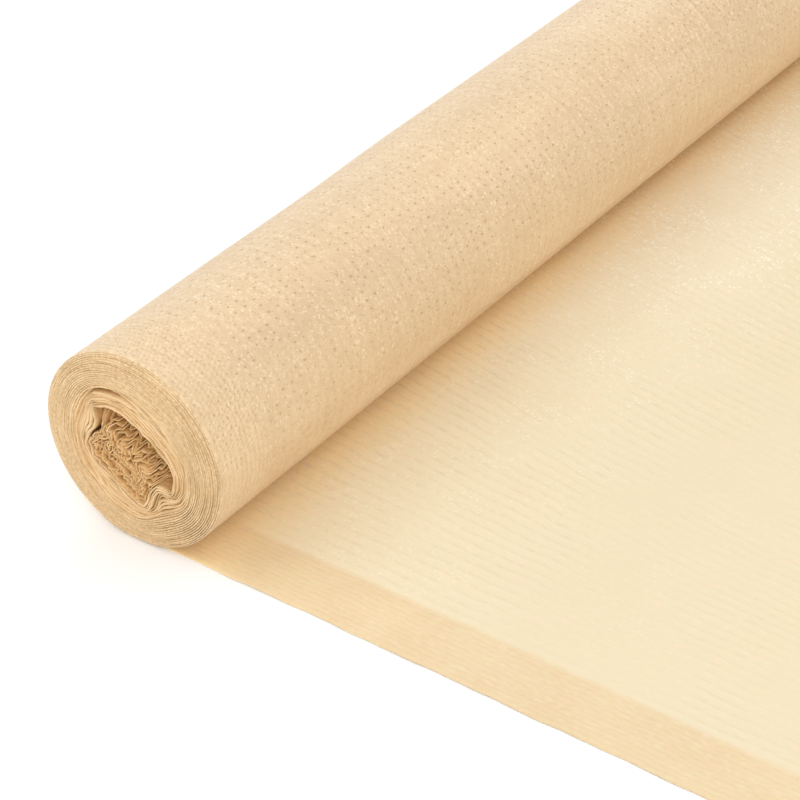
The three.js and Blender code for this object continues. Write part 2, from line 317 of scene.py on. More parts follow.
def wound_path(first, last):
    """The net's run between two numbers of turns, each layer in its room, with thickness and turns."""
    turn = np.linspace(first, last, int((last - first) * 720) + 1)
    p = layer_place(turn)
    inwards = layer_place(np.minimum(turn + 1, INNER_TURNS - 0.1), 360.0 * turn) - p
    outwards = layer_place(np.maximum(turn - 1, 0.0), 360.0 * turn) - p
    room_out = np.where(turn > 1, lengths(outwards), NET_THICKNESS)
    room_in = np.where(turn < INNER_TURNS - 1.2, lengths(inwards), room_out)
    fill = FILL_SHARE + FILL_LEAN * np.cos(np.radians(360.0 * turn - FULLEST_ANGLE))
    fill -= BAND_LOOSER * smooth_step(RING_TURNS - 2, RING_TURNS + 2, turn)
    fill = np.minimum(fill + uneven(run_length(p), FILL_WAVES, 61), FULLEST_SHARE)
    thickest = NET_THICKNESS + (LOOSE_THICKEST - NET_THICKNESS) * smooth_step(0.5, 2, turn)
    half_in, half_out = (np.clip(fill * room, THINNEST, thickest) / 2 for room in (room_in, room_out))
    p = p + normals_of(p) * ((half_out - half_in) / 2 * smooth_step(1.5, 3, turn))[:, None]
    return p, half_in + half_out, turn


def chain_start():
    """The crumple's chain before it settles: a spiral inside the inner guide, a little wavy."""
    turn = np.linspace(0, CHAIN_TURNS, 40000)
    share = (turn / CHAIN_TURNS)[:, None]
    edge = inner_guide(360.0 * turn) - CORE_CENTRE
    reach = lengths(edge)[:, None]
    edge *= (reach - CHAIN_MARGIN - 0.1) / reach
    p = CORE_CENTRE + edge * (1 - share) + edge / lengths(edge)[:, None] * CHAIN_INNER * share
    s = run_length(p)
    at = np.linspace(0, s[-1], int(s[-1] / CHAIN_STEP))
    p = np.stack([np.interp(at, s, p[:, k]) for k in (0, 1)], axis=1)
    share = np.interp(at, s, share[:, 0])
    noise = np.random.default_rng(CHAIN_SEED).normal(size=p.shape)
    kernel = np.exp(-0.5 * (np.arange(-12, 13) / 3.0) ** 2)
    kernel /= kernel.sum()
    noise = np.stack([np.convolve(noise[:, k], kernel, "same") for k in (0, 1)], axis=1)
    return p + CHAIN_WOBBLE * noise * np.minimum(1, share * 6)[:, None], share


class CoreWall:
    """Distance to the inner guide on a grid, and the way back inside."""

    def __init__(self):
        self.cells = 220
        margin = 3.0
        rim = inner_guide(np.arange(0.0, 360.0, 1.5))
        self.low = rim.min(0) - margin
        self.step = (rim.max(0) + margin - self.low) / (self.cells - 1)
        gx, gz = (self.low[k] + self.step[k] * np.arange(self.cells) for k in (0, 1))
        x, z = np.meshgrid(gx, gz, indexing="ij")
        away = np.full(x.shape, 1e9)
        inside = np.zeros(x.shape, bool)
        for (ax, az), (bx, bz) in zip(rim, np.roll(rim, -1, axis=0)):
            ux, uz = bx - ax, bz - az
            t = np.clip(((x - ax) * ux + (z - az) * uz) / (ux * ux + uz * uz), 0, 1)
            away = np.minimum(away, (x - ax - t * ux) ** 2 + (z - az - t * uz) ** 2)
            if az != bz:
                inside ^= ((az > z) != (bz > z)) & (x < ux * (z - az) / uz + ax)
        self.depth = np.where(inside, 1, -1) * np.sqrt(away)
        self.slope = np.gradient(self.depth, *self.step)

    def read(self, grid, p):
        f = np.clip((p - self.low) / self.step, 0, self.cells - 1.001)
        i, j = f.astype(int).T
        u, v = (f - f.astype(int)).T
        low = grid[i, j] * (1 - v) + grid[i, j + 1] * v
        high = grid[i + 1, j] * (1 - v) + grid[i + 1, j + 1] * v
        return low * (1 - u) + high * u

    def push_inside(self, p):
        depth = self.read(self.depth, p)
        out = np.nonzero(depth < CHAIN_MARGIN)[0]
        if len(out):
            slope = np.stack([self.read(grid, p[out]) for grid in self.slope], axis=1)
            size = np.maximum(lengths(slope), 1e-6)
            p[out] += slope * ((CHAIN_MARGIN - depth[out]) / size**2)[:, None]


def hold_lengths(p, rest):
    """Moves neighbours so that each link of the chain keeps its length."""
    for first in (0, 1):
        gap = p[first + 1 :: 2] - p[first:-1:2]
        length = np.maximum(lengths(gap), 1e-9)
        move = gap * ((length - rest[first::2]) / length * 0.5)[:, None]
        p[first:-1:2] += move
        p[first + 1 :: 2] -= move


def part_layers(p, one, other):
    """Pushes apart two places of the chain that are nearer than a layer."""
    gap = p[other] - p[one]
    length = np.maximum(lengths(gap), 1e-9)
    near = length < CHAIN_GAP
    move = gap[near] * ((CHAIN_GAP - length[near]) / length[near] * 0.5)[:, None]
    for k in (0, 1):
        p[:, k] -= np.bincount(one[near], move[:, k], len(p))
        p[:, k] += np.bincount(other[near], move[:, k], len(p))


def settled_chain():
    """Settles the inner turns: they are longer than their space, so they buckle, sag and fold."""
    p, share = chain_start()
    wall = CoreWall()
    start = p[0].copy()
    rest_length = lengths(np.diff(p, axis=0)).mean()
    looseness = np.clip(share[:-1] * 3, 0.15, 1.0)
    down = CHAIN_FALL * np.array(CHAIN_DOWN) / np.hypot(*CHAIN_DOWN)
    speed = np.zeros_like(p)
    for step in range(CHAIN_STEPS):
        grown = (CHAIN_GROWTH - 1) * min(1.0, step / (CHAIN_GROWS_FOR * CHAIN_STEPS))
        rest = rest_length * (1 + grown * looseness)
        q = p + speed * CHAIN_DRAG + down
        if step % 4 == 0:
            apart = (q[:, None, 0] - q[None, :, 0]) ** 2 + (q[:, None, 1] - q[None, :, 1]) ** 2
            one, other = np.nonzero(np.triu(apart < (CHAIN_GAP + CHAIN_LOOKOUT) ** 2, 3))
        for _ in range(CHAIN_PASSES):
            hold_lengths(q, rest)
            middle = (q[:-2] + q[2:]) * 0.5 - q[1:-1]
            q[1:-1] += CHAIN_BEND * middle
            q[:-2] -= CHAIN_BEND * 0.5 * middle
            q[2:] -= CHAIN_BEND * 0.5 * middle
            part_layers(q, one, other)
            wall.push_inside(q)
            q[0] = start
        speed = q - p
        speed *= np.minimum(1, CHAIN_FASTEST / np.maximum(lengths(speed), 1e-9))[:, None]
        p = p + speed
    return p


def curved_through(p, steps):
    """A finer curve through points."""
    q = np.concatenate([p[:1], p, p[-1:]])
    t = (np.arange(steps) / steps)[None, :, None]
    fine = curve_point(*(q[k : len(q) - 3 + k, None, :] for k in range(4)), t)
    return np.concatenate([fine.reshape(-1, 2), p[-1:]])


def crumple_path():
    """The settled chain, smoothed."""
    p = settled_chain()
    padded = np.concatenate([p[:1], p, p[-1:]])
    smooth = 0.25 * padded[:-2] + 0.5 * padded[1:-1] + 0.25 * padded[2:]
    return curved_through(smooth, 4)


def spaced(p, values, error=0.07, shortest=0.95, longest=4.6):
    """Picks places along a path: near together where it bends tightly."""
    s = run_length(p)
    sample = 0.25
    at = np.arange(0, s[-1], sample)
    x, z = (np.interp(at, s, p[:, k]) for k in (0, 1))
    heading = np.unwrap(np.arctan2(np.gradient(z), np.gradient(x)))
    bend = np.abs(np.gradient(heading, sample))
    kernel = np.hanning(9) / np.hanning(9).sum()
    bend = np.convolve(bend, kernel, "same")
    step = np.clip(np.sqrt(8 * error / np.maximum(bend, 1e-4)), shortest, longest)
    count = np.concatenate([[0.0], np.cumsum(sample / step[:-1])])
    places = np.interp(np.linspace(0, count[-1], int(count[-1]) + 1), count, at)
    places[-1] = s[-1]
    point = np.stack([np.interp(places, s, p[:, k]) for k in (0, 1)], axis=1)
    return point, places, [np.interp(places, s, v) for v in values]


def core_outline():
    """The core outline's reach by direction from its centre."""
    edge = inner_guide(np.arange(0.0, 360.0, 1.0)) - CORE_CENTRE
    angle = np.degrees(np.arctan2(edge[:, 1], edge[:, 0]))
    order = np.argsort(angle)
    return angle[order], lengths(edge)[order]


def core_shift(x, z, y, outline):
    """How the core changes along the roll: rounder at the far end, its folds shifting slowly."""
    dx, dz = x - CORE_CENTRE[0], z - CORE_CENTRE[1]
    away = np.hypot(dx, dz) + 1e-9
    reach = np.interp(np.degrees(np.arctan2(dz, dx)), *outline, period=360)
    far = FAR_ROUNDNESS * smooth_step(-420, 460, y)
    grow = far * (CORE_MEAN * ROLL_RADIUS - reach)
    fade = 1 - smooth_step(1.0, 1.6, away / reach)
    scale = 1 + grow / reach * np.where(away < reach, 1.0, fade * reach / away)
    inner = 1 - smooth_step(0.55, 1.0, away / reach)
    size, length, slant = SIDE_SHIFT
    sideways = np.sin(2 * np.pi * y / length + slant * z + SIDE_PHASE)
    shift_x = size * inner * (sideways - np.sin(slant * z + SIDE_PHASE - SIDE_START))
    size, length, slant = UP_SHIFT
    shift_z = size * inner * np.sin(2 * np.pi * (y + NET_WIDTH / 2) / length) * np.cos(slant * x)
    return CORE_CENTRE[0] + dx * scale + shift_x, CORE_CENTRE[1] + dz * scale + shift_z


def body_shape(x, z, y):
    """The roll's swell and lean at a place along its length."""
    rows = np.array(ROLL_STATIONS)
    at = y / NET_WIDTH + 0.5
    swell = 1 + eased(at, rows[:, 0], rows[:, 1])
    lean = eased(at, rows[:, 0], rows[:, 2]) * z / ROLL_RADIUS
    return x * swell + lean, z * swell


def sheet_lift(x, y):
    """How far the laid end is lifted off the surface."""
    lift = np.zeros_like(x)
    for sx, sy, half_x, half_y, height in SHEET_SWELLS:
        off = np.minimum(np.hypot((x - sx) / half_x, (y - sy) / half_y), 1.0)
        lift += height * (0.5 + 0.5 * np.cos(np.pi * off))
    by_x = 0.16 * np.sin(x / 7.5 + 0.9 * np.sin(y / 21)) * np.sin(y / 33 + 0.5)
    by_y = 0.2 * np.sin(y / 6.1 + 1.4 * np.sin(x / 40)) * np.sin(x / 55 + y / 90)
    return lift + (by_x + by_y + 0.25) * smooth_step(30, 60, x)


def section_row(edge_columns, middle_columns):
    """The net's section across its width: distance from the near edge, and share of the thickness."""
    low = np.array(edge_columns, float)
    middle = np.linspace(low[-1], NET_WIDTH - low[-1], middle_columns + 2)[1:-1]
    across = np.concatenate([low, middle, (NET_WIDTH - low)[::-1]])
    outer = [(w, 0.5) for w in across[::-1]]
    near_tip = [(0.0, EDGE_BLUNTNESS), (0.0, -EDGE_BLUNTNESS)]
    inner = [(w, -0.5) for w in across]
    far_tip = [(NET_WIDTH, -EDGE_BLUNTNESS), (NET_WIDTH, EDGE_BLUNTNESS)]
    return np.array(outer + near_tip + inner + far_tip)


def map_shares(row, shown):
    """How a row of the section is spread over the baked picture: most to the side shown, or 0 for both."""
    edges_shown = ((0, 0), (0.5, 0.03), (3, 0.13), (9, 0.22), (24, 0.32), (60, 0.42), (500, 0.5))
    table = np.array(((0, 0), (500, 0.5)) if shown else edges_shown)
    width = np.minimum(row[:, 0], NET_WIDTH - row[:, 0])
    place = np.interp(width, table[:, 0], table[:, 1])
    place = np.where(row[:, 0] > NET_WIDTH / 2, 1 - place, place)
    step = np.abs(np.roll(place, -1) - place)
    hidden = (row[:, 1] * shown < 0) & (np.roll(row[:, 1], -1) * shown < 0)
    step = np.maximum(step * np.where(hidden, 0.1, 1.0), 0.004 if shown else 0.012)
    return np.concatenate([[0.0], np.cumsum(step)]) / step.sum()


def bake_map(along, shares, strips):
    """Corners of each face in the baked picture, where the net lies in rows of strips with margins."""
    faces = len(along) - 1
    face = np.arange(faces)
    per_strip = math.ceil(faces / strips)
    strip = face // per_strip
    start = along[strip * per_strip]
    longest = max(along[min(k + per_strip, faces)] - along[k] for k in range(0, faces, per_strip))
    u0, u1 = (0.004 + 0.955 * (along[face + k] - start) / longest for k in (0, 1))
    v0, v1 = ((strip[:, None] + 0.03 + 0.94 * edge[None, :]) / strips for edge in (shares[:-1], shares[1:]))
    u0, u1 = (np.repeat(u[:, None], len(shares) - 1, axis=1) for u in (u0, u1))
    corners = ((u0, v0), (u0, v1), (u1, v1), (u1, v0))
    return np.stack([np.stack(corner, axis=-1) for corner in corners], axis=2).reshape(-1, 4, 2)


def cap_map(shares, front, left):
    """Corners of an end face's quads in the baked picture's margin."""
    v0, v1 = shares[front], shares[front + 1]
    u0, u1 = np.full(len(front), left), np.full(len(front), left + CAP_WIDTH)
    corners = ((u0, v0), (u1, v0), (u1, v1), (u0, v1))
    return np.stack([np.stack(corner, axis=-1) for corner in corners], axis=1)


def add_object(name, data):
    item = bpy.data.objects.new(name, data)
    bpy.context.scene.collection.objects.link(item)
    return item


def net_mesh(name, places, along, row, shown, strips):
    """A mesh from rows of points: each row runs once around the net's section, across its width."""
    rows, columns = places.shape[:2]
    index = np.arange(rows * columns).reshape(rows, columns)
    a, b = index[:-1], index[1:]
    quads = np.stack([a, np.roll(a, -1, axis=1), np.roll(b, -1, axis=1), b], axis=-1).reshape(-1, 4)
    front = np.arange(columns // 2 - 1)
    back = columns - 3 - front
    cap = np.stack([front, back, back - 1, front + 1], axis=-1)
    body = len(quads)
    quads = np.concatenate([quads, cap, index[-1][0] + cap[:, ::-1]])
    shares = map_shares(row, shown)
    caps = cap_map(shares, front, CAPS_LEFT[0]), cap_map(shares, front, CAPS_LEFT[1])[:, ::-1]
    baked = np.concatenate([bake_map(along, shares, strips), *caps])
    mesh = bpy.data.meshes.new(name)
    mesh.vertices.add(rows * columns)
    mesh.vertices.foreach_set("co", (places.reshape(-1, 3) * 0.001).astype(np.float32).ravel())
    mesh.loops.add(quads.size)
    mesh.loops.foreach_set("vertex_index", quads.astype(np.int32).ravel())
    mesh.polygons.add(len(quads))
    mesh.polygons.foreach_set("loop_start", np.arange(0, quads.size, 4, dtype=np.int32))
    mesh.update(calc_edges=True)
    knit = mesh.uv_layers.new(name="Knit")
    uv = np.stack([np.repeat(along, columns), np.tile(row[:, 0], rows)], axis=1)[quads.ravel()] * 0.001
    knit.data.foreach_set("uv", uv.astype(np.float32).ravel())
    picture = mesh.uv_layers.new(name="OFBake")
    picture.data.foreach_set("uv", baked.astype(np.float32).ravel())
    mesh.polygons.foreach_set("use_smooth", np.arange(len(quads)) < body)
    return add_object(name, mesh)


def normals_of(p):
    """Unit normals of a path, on its left."""
    t = np.gradient(p, axis=0)
    t /= np.maximum(lengths(t), 1e-9)[:, None]
    return np.stack([-t[:, 1], t[:, 0]], axis=1)


def edge_inset(p, turns_in, s, far):
    """How far each layer's edge lies behind the end's plane, at the near or the far end."""
    table = np.array(EDGE_STEPS)
    steps = np.interp(turns_in, table[:, 0], table[:, 1 + far])
    ring = uneven(s, RING_EDGE_WAVES, 21 + FAR_SEED_STEP * far)
    band = uneven(s, BAND_EDGE_WAVES, 31 + FAR_SEED_STEP * far)
    crumpled = uneven(s, CORE_EDGE_WAVES, 41 + FAR_SEED_STEP * far)
    in_band = smooth_step(RING_TURNS - 2, RING_TURNS + 2, turns_in)
    in_core = smooth_step(INNER_TURNS, INNER_TURNS + 0.5, turns_in)
    towards = (p - CORE_CENTRE) @ np.array(HOLLOW_WAY) / ROLL_RADIUS
    hollow = HOLLOW_DEPTH * smooth_step(HOLLOW_FROM, HOLLOW_TO, towards) * in_core
    rough = ring * (1 - in_core) + band * in_band * (1 - in_core) + crumpled * in_core
    for angle, span, turn, depth in LAID_BACK:
        off = (np.mod(360.0 * turns_in - angle + 180.0, 360.0) - 180.0) / span
        hollow = hollow + depth * np.exp(-(off**2) - ((turns_in - turn) / 0.7) ** 2) * (1 - in_core)
    return steps + rough * smooth_step(0.2, 1.2, turns_in) + hollow


def moved_out(p, off):
    """A path's places moved along its normals, in rows across the net."""
    normal = normals_of(p)
    return [p[:, k, None] + normal[:, k, None] * off for k in (0, 1)]


def wound_turns():
    """The turns under the outermost one, in to the crumple, as two pieces that meet in the ring."""
    turns, thick, turns_in = wound_path(1.0, INNER_TURNS)
    core = crumple_path()
    p = np.concatenate([turns, core])
    thick = np.concatenate([thick, np.full(len(core), CRUMPLE_THICKNESS)])
    turns_in = np.concatenate([turns_in, np.linspace(INNER_TURNS, INNER_TURNS + CHAIN_TURNS, len(core))])
    p, s, (thick, turns_in) = spaced(p, (thick, turns_in), longest=2.7)
    row = section_row(HIDDEN_COLUMNS, 1)
    width, layer = row.T[:, None]
    from_edge = np.minimum(width, NET_WIDTH - width)
    share = width / NET_WIDTH
    near, far = (edge_inset(p, turns_in, s, end)[:, None] for end in (0, 1))
    y = width - NET_WIDTH / 2 + near * (1 - share) - far * share
    frayed = uneven(s, FRAYED_WAVES, 71) * smooth_step(INNER_TURNS, INNER_TURNS + 0.5, turns_in)
    to_edge = 1 - smooth_step(0.5, 9, from_edge)
    x, z = moved_out(p, layer * thick[:, None] + frayed[:, None] * to_edge)
    x, z = core_shift(x, z, y, core_outline())
    shrunk = 1 - HIDDEN_SHRINK * smooth_step(9, 60, from_edge)
    x, z = x * shrunk, ROLL_CENTRE_Z + (z - ROLL_CENTRE_Z) * shrunk
    x, z = body_shape(x, z, y)
    places = np.stack([x, y, z], axis=-1)
    cut = int(np.searchsorted(turns_in, RING_TURNS))
    ring = net_mesh("net_wound_turns", places[: cut + 1], s[: cut + 1] + WOUND_FROM, row, 0, 8)
    inner = net_mesh("net_inner_turns", places[cut:], s[cut:] + WOUND_FROM, row, 0, 8)
    return (ring, s[cut]), (inner, s[-1] - s[cut])


def outer_turn():
    """The roll's outermost turn."""
    p, thick, turns_in = wound_path(0.0, 1.0)
    p, s, (thick, turns_in) = spaced(p, (thick, turns_in), longest=4.4)
    row = section_row(EDGE_COLUMNS, 104)
    width, layer = row.T[:, None]
    share = width / NET_WIDTH
    wound = smooth_step(0, LIES_FLAT_TO, s)
    lying = (1 - wound) * EDGE_DRIFT[0][1]
    near = edge_inset(p, turns_in, s, 0) * wound + lying
    far = edge_inset(p, turns_in, s, 1) * wound - lying
    y = width - NET_WIDTH / 2 + near[:, None] * (1 - share) - far[:, None] * share
    x, z = moved_out(p, layer * thick[:, None])
    x, z = body_shape(x, z, y)
    places = np.stack([x, y, z], axis=-1)
    return net_mesh("net_outer_turn", places, s + LOOSE_END_X, row, 1, 1), s[-1]


def laid_end():
    """The stretch that lies on the surface, from the cut end to under the roll."""
    x = np.linspace(LOOSE_END_X, 0.0, 118)
    s = LOOSE_END_X - x
    row = section_row(EDGE_COLUMNS, 150)
    width, layer = row.T[:, None]
    share = width / NET_WIDTH
    drift = np.interp(x, *np.array(EDGE_DRIFT, float).T)[:, None]
    edge = uneven(s, LAID_EDGE_WAVES, 5) * smooth_step(0, 30, x)
    y = width - NET_WIDTH / 2 + drift + edge[:, None] * (1 - share) + edge[::-1, None] * share
    wave = CUT_END_WAVE * np.sin(share * 19) + CUT_END_SKEW * (share - 0.5)
    px = x[:, None] + wave * ((x / LOOSE_END_X) ** 2)[:, None]
    lift = sheet_lift(px, y) * smooth_step(14, 40, px)
    pz = NET_THICKNESS * (0.5 - layer) + lift
    places = np.stack([px, y, pz], axis=-1)
    return net_mesh("net_laid_end", places, s, row, -1, 1), s[-1]


# Stretches along the net, in mm, over which the wavy band and the crumpled core take over
BAND_STRETCH = (4800.0, 6600.0)
CORE_STRETCH = (7450.0, 7750.0)

# Where along the net, over what length and how far the laid net's rows bow, in mm
BOW_AT = 380.0
BOW_LENGTH = 170.0
BOW_SIZE = 26.0

# The knit's pitches in mm: from a row to the next but one, along a row, and from stitch to stitch
ROW_PITCH = 7.4
PRICK_PITCH = 5.2
STITCH_PITCH = 2.6

# The studio's light, in metres and watts
SKY_STRENGTH = 1.0
LAMPS = (
    # name, place, target, size, power, colour
    ("right", (3.0, -3.8, 3.2), (0.1, -0.1, 0.0), 3.6, 82, (1.0, 0.98, 0.94)),
    ("left", (-1.6, -1.4, 1.5), (0.0, -0.3, 0.0), 1.8, 8.5, (0.93, 0.98, 1.0)),
    ("back", (-2.6, 3.2, 3.4), (0.0, 0.0, 0.0), 3.6, 26, (0.85, 0.95, 1.0)),
)


class Nodes:
    """Short calls for building a material's nodes."""

    def __init__(self, material):
        material.use_nodes = True
        self.tree = material.node_tree
        self.tree.nodes.clear()

    def add(self, kind, inputs=None, **settings):
        """A node with its settings, and with a value or another node's output for some inputs."""
        node = self.tree.nodes.new(kind)
        for name, value in settings.items():
            setattr(node, name, value)
        for name, value in (inputs or {}).items():
            if isinstance(value, bpy.types.NodeSocket):
                self.tree.links.new(value, node.inputs[name])
            else:
                node.inputs[name].default_value = value
        return node

    def math(self, operation, *values):
        return self.add("ShaderNodeMath", dict(enumerate(values)), operation=operation).outputs[0]

    def plus(self, *values):
        total = values[0]
        for value in values[1:]:
            total = self.math("ADD", total, value)
        return total

    def times(self, *values):
        total = values[0]
        for value in values[1:]:
            total = self.math("MULTIPLY", total, value)
        return total

    def linear(self, value, slope, start):
        return self.plus(self.times(value, slope), start)

    def between(self, value, outer_low, low, high, outer_high):
        """1 between low and high, easing to 0 at the outer two."""
        return self.times(self.step(outer_low, low, value), self.step(outer_high, high, value))

    def step(self, low, high, value):
        inputs = {"Value": value, "From Min": low, "From Max": high}
        return self.add("ShaderNodeMapRange", inputs, interpolation_type="SMOOTHSTEP").outputs["Result"]

    def mix(self, share, a, b):
        inputs = {"Factor": share, "A": a, "B": b}
        return self.add("ShaderNodeMix", inputs, data_type="RGBA").outputs["Result"]

    def paint(self, base, coats):
        """Lays coats over a colour: where, how strongly and in which colour."""
        for where, strength, colour in coats:
            base = self.mix(self.times(where, strength), base, (*colour, 1))
        return base

    def point(self, *place):
        return self.add("ShaderNodeCombineXYZ", dict(enumerate(place))).outputs[0]

    def parts(self, vector):
        return self.add("ShaderNodeSeparateXYZ", {0: vector}).outputs

    def noise(self, x, y, z, scale, detail=2.0, rough=0.5):
        inputs = {"Vector": self.point(x, y, z), "Scale": scale, "Detail": detail, "Roughness": rough}
        return self.add("ShaderNodeTexNoise", inputs).outputs["Fac"]

    def cells(self, x, y, z, scale):
        """Distance to the nearest of many scattered points, and a random shade for each."""
        inputs = {"Vector": self.point(x, y, z), "Scale": scale}
        node = self.add("ShaderNodeTexVoronoi", inputs, feature="F1")
        shade = self.add("ShaderNodeSeparateColor", {0: node.outputs["Color"]})
        return node.outputs["Distance"], shade.outputs[0]

    def surface(self, inputs):
        shader = self.add("ShaderNodeBsdfPrincipled", inputs)
        self.add("ShaderNodeOutputMaterial", {"Surface": shader.outputs[0]})

    def wave(self, value, pitch):
        return self.math("COSINE", self.times(value, 2 * math.pi / pitch))


class KnitPlaces:
    """Places on the net in mm: along its length, across its width, and along the rows, bowed when laid."""

    def __init__(self, n, waver, jitter):
        places = n.parts(n.add("ShaderNodeUVMap", uv_map="Knit").outputs["UV"])
        self.n = n
        self.along = n.times(places["X"], 1000)
        self.across = n.times(places["Y"], 1000)
        past_bow = n.plus(self.along, -BOW_AT)
        bend = n.times(n.math("TANH", n.times(past_bow, 1 / BOW_LENGTH)), BOW_SIZE)
        drift = n.times(n.math("MINIMUM", past_bow, 520), 0.05)
        inside = n.times(n.between(self.across, 30, 240, 760, 970), n.step(620, 500, self.along))
        self.quick = n.plus(self.noise(7, 0.16, 1), -0.5)
        bowed = n.plus(self.across, n.times(n.plus(bend, drift), inside, -1))
        wavering = n.times(n.plus(self.noise(0, 0.03), -0.5), waver)
        self.row = n.plus(bowed, wavering, n.times(self.quick, jitter))
        self.stitch = n.plus(self.along, n.times(self.quick, 1.8))
        self.field = n.between(self.across, 35, 40, 960, 965)
        self.band = n.linear(self.field, -1, 1)
        self.rim = n.between(self.across, 0.6, 3, 997, 999.4)

    def noise(self, *settings):
        return self.n.noise(self.along, self.across, *settings)


def band_rows(n, at):
    """Close rows of small stitches that stiffen both long edges."""
    rows = n.linear(n.wave(at.row, 3.5), 0.5, 0.5)
    stitches = n.linear(n.wave(n.plus(at.stitch, n.times(at.row, 0.5)), STITCH_PITCH), 0.5, 0.5)
    broken = n.step(0.3, 0.65, n.noise(n.times(at.along, 0.2), n.times(at.row, 0.4), 3, 1, 1))
    return n.times(rows, n.linear(broken, 0.7, 0.3)), stitches


def tape_glints(n, at, patches_from):
    """Flat tape that catches the light in scattered patches."""
    patch = n.step(patches_from, patches_from + 0.16, at.noise(23, 0.024, 2))
    away, shade = n.cells(n.times(at.stitch, 0.75), at.row, 4, 0.42)
    size = n.step(0.42, 0.18, away)
    chosen = n.step(0.62, 0.95, n.plus(shade, n.times(patch, 0.3), -0.1))
    return n.times(size, chosen, n.linear(patch, 0.8, 0.2))


def net_shader(n, base, rough, height, bump_size, sheen, gloss):
    """The net's surface: its colour and roughness, its relief in metres, and a little sheen."""
    bump = n.add("ShaderNodeBump", {"Strength": 0.7, "Distance": bump_size, "Height": height})
    n.surface({
        "Base Color": base,
        "Roughness": rough,
        "Specular IOR Level": gloss,
        "Sheen Weight": sheen,
        "Sheen Roughness": 0.5,
        "Normal": bump.outputs[0],
    })


class WoundPlaces(KnitPlaces):
    """Places on the wound net, with shares for how far inside the roll they lie."""

    def __init__(self, n):
        super().__init__(n, 3.5, 1.6)
        # Fades the painted glints, dark specks and pinpricks down the roll's low side, which lies in shade
        self.calm = n.linear(n.between(self.along, 725, 790, 850, 900), -0.35, 1)
        self.slant = n.math("PINGPONG", self.row, ROW_PITCH / 4)
        self.in_band = n.step(*BAND_STRETCH, self.along)
        self.in_core = n.step(*CORE_STRETCH, self.along)
        self.in_ring = n.linear(self.in_band, -0.75, 1)
        self.not_core = n.linear(self.in_core, -0.8, 1)
        self.at_rim = n.linear(self.rim, -1, 1)


def pinpricks(n, at):
    """Staggered pinpricks, painted as dark dots for the shade seen through holes: every second row weaker,
    closer in the bands, many half hidden.
    """
    along_row = n.wave(at.stitch, PRICK_PITCH)
    lattice = n.times(along_row, n.linear(n.wave(at.row, ROW_PITCH), 0.8, 0.14))
    band_lattice = n.times(along_row, n.wave(at.row, 3.4), 0.86)
    sizes = n.times(n.plus(at.noise(3, 0.36, 1), -0.5), 1.3)
    in_patches = n.times(n.plus(at.noise(29, 0.035, 1), -0.5), 0.5)
    pattern = n.plus(n.times(lattice, at.field), n.times(band_lattice, at.band), sizes, in_patches)
    return n.times(n.step(0.7, 1, pattern), at.rim, at.calm)


def wound_specks(n, at):
    """Specks between the pinpricks: painted glints where a tape crosses, dark where a gap opens."""
    away, shade = n.cells(n.plus(at.along, n.times(at.slant, 0.6)), n.times(at.row, 0.8), 5, 0.58)
    light = n.times(n.step(0.6, 0.2, away), n.step(0.3, 0.95, shade), at.calm, at.calm)
    dark = n.times(n.step(0.5, 0.15, away), n.step(0.45, 0.1, shade), at.calm)
    return light, dark


def wound_relief(n, at, shaded_pinpricks):
    """Stitches between the pinpricks, the tape's grain, and the pinpricks as dents."""
    chain = n.linear(n.wave(at.row, ROW_PITCH / 2), -0.5, 0.5)
    stitches = n.times(n.wave(n.plus(at.stitch, n.times(at.slant, 0.9)), STITCH_PITCH), chain)
    grain = n.noise(at.along, n.times(at.row, 1.6), 0, 1.1, 2, 0.6)
    return n.plus(n.times(chain, 0.35), n.times(stitches, 0.25), n.times(grain, 0.4), n.times(shaded_pinpricks, -0.8))


def wound_ground(n, at):
    """Warm sand; painted shade deepens it down the roll's side, at the contact and towards the crumpled
    inside.
    """
    return n.paint((0.69, 0.51, 0.314, 1), (
        # where, strength, colour
        # Painted shade: deeper tones down the outer turn's side, darkest in a strip just above the contact
        (n.step(695, 738, at.along), 1, (0.652, 0.459, 0.264)),
        (n.step(758, 802, at.along), 1, (0.655, 0.42, 0.2)),
        (n.step(788, 812, at.along), 1, (0.55, 0.305, 0.11)),
        # Painted shade: a deeper, warmer colour on the turns under the outer one, in the band and in the
        # core
        (n.step(830, 870, at.along), 1, (0.64, 0.44, 0.238)),
        (at.in_band, 1, (0.69, 0.45, 0.21)),
        (at.in_core, 1, (0.755, 0.455, 0.172)),
    ))


def wound_shades(n, at, base):
    """Uneven tones of the wound net: tape by tape, in blotches, by rows, in streaks, and painted light and
    shade in soft bands along the roll.
    """
    shade = n.cells(at.stitch, at.row, 0, 0.36)[1]
    blotch = n.step(0.35, 0.7, at.noise(11, 0.012, 3, 0.6))
    rows = n.plus(n.wave(at.row, ROW_PITCH), 1)
    axial = n.noise(n.times(at.along, 0.035), n.times(at.across, 0.005), 61, 1, 1)
    streaks = n.step(0.35, 0.7, n.noise(n.times(at.along, 0.006), n.times(at.row, 0.135), 37, 1, 0))
    return n.paint(base, (
        # where, strength, colour
        (n.times(shade, at.in_ring), 0.3, (0.83, 0.63, 0.4)),
        (blotch, 0.2, (0.74, 0.51, 0.28)),
        (n.times(at.band, at.not_core), 0.3, (0.7, 0.48, 0.26)),
        (n.times(rows, at.field), 0.045, (0.5, 0.33, 0.16)),
        # Painted shade and painted light in soft bands along the roll's axis, as over shallow folds
        (n.step(0.5, 0.7, axial), 0.2, (0.56, 0.385, 0.22)),
        (n.step(0.48, 0.3, axial), 0.2, (0.86, 0.68, 0.45)),
        (streaks, 0.1, (0.55, 0.37, 0.19)),
    ))


